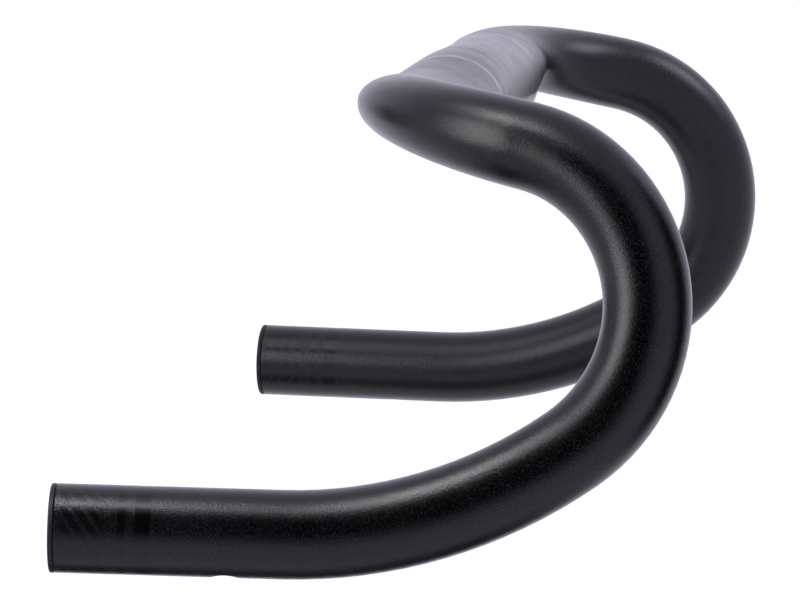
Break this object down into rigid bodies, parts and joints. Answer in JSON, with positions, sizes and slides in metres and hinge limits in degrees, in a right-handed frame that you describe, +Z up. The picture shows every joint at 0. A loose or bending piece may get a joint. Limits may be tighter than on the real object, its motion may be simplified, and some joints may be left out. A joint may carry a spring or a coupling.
{
  "type": "drop handlebar",
  "caption": "Flared compact drop handlebar with a round stem clamp, oval swept tops, curved hooks, a wiring port under each drop and push-in end plugs.",
  "frame": {"origin": "centre of the stem clamp, on its axis", "axes": "+X to the rider's right along the clamp, +Y forwards, +Z up, with the drops' straight ends nearly level"},
  "size_m": [0.5052, 0.17, 0.1336],
  "materials": {
    "bar": "bead-blasted, anodised matte black",
    "sleeve": "bare, as extruded",
    "plug": "fine moulded black"
  },
  "bodies": {
    "handlebar": {"centre_section": "bar", "right_drop": "bar", "left_drop": "bar", "right_joint_sleeve": "sleeve", "left_joint_sleeve": "sleeve"},
    "right_plug": {"right_end_plug": "plug"},
    "left_plug": {"left_end_plug": "plug"}
  },
  "joints": [
    {"name": "right_plug_slide", "type": "slide", "parent": "handlebar", "child": "right_plug", "axis": [0.0628, -0.9977, 0.0262], "range_m": [0, 0.03]},
    {"name": "left_plug_slide", "type": "slide", "parent": "handlebar", "child": "left_plug", "axis": [-0.0628, -0.9977, 0.0262], "range_m": [0, 0.03]}
  ]
}
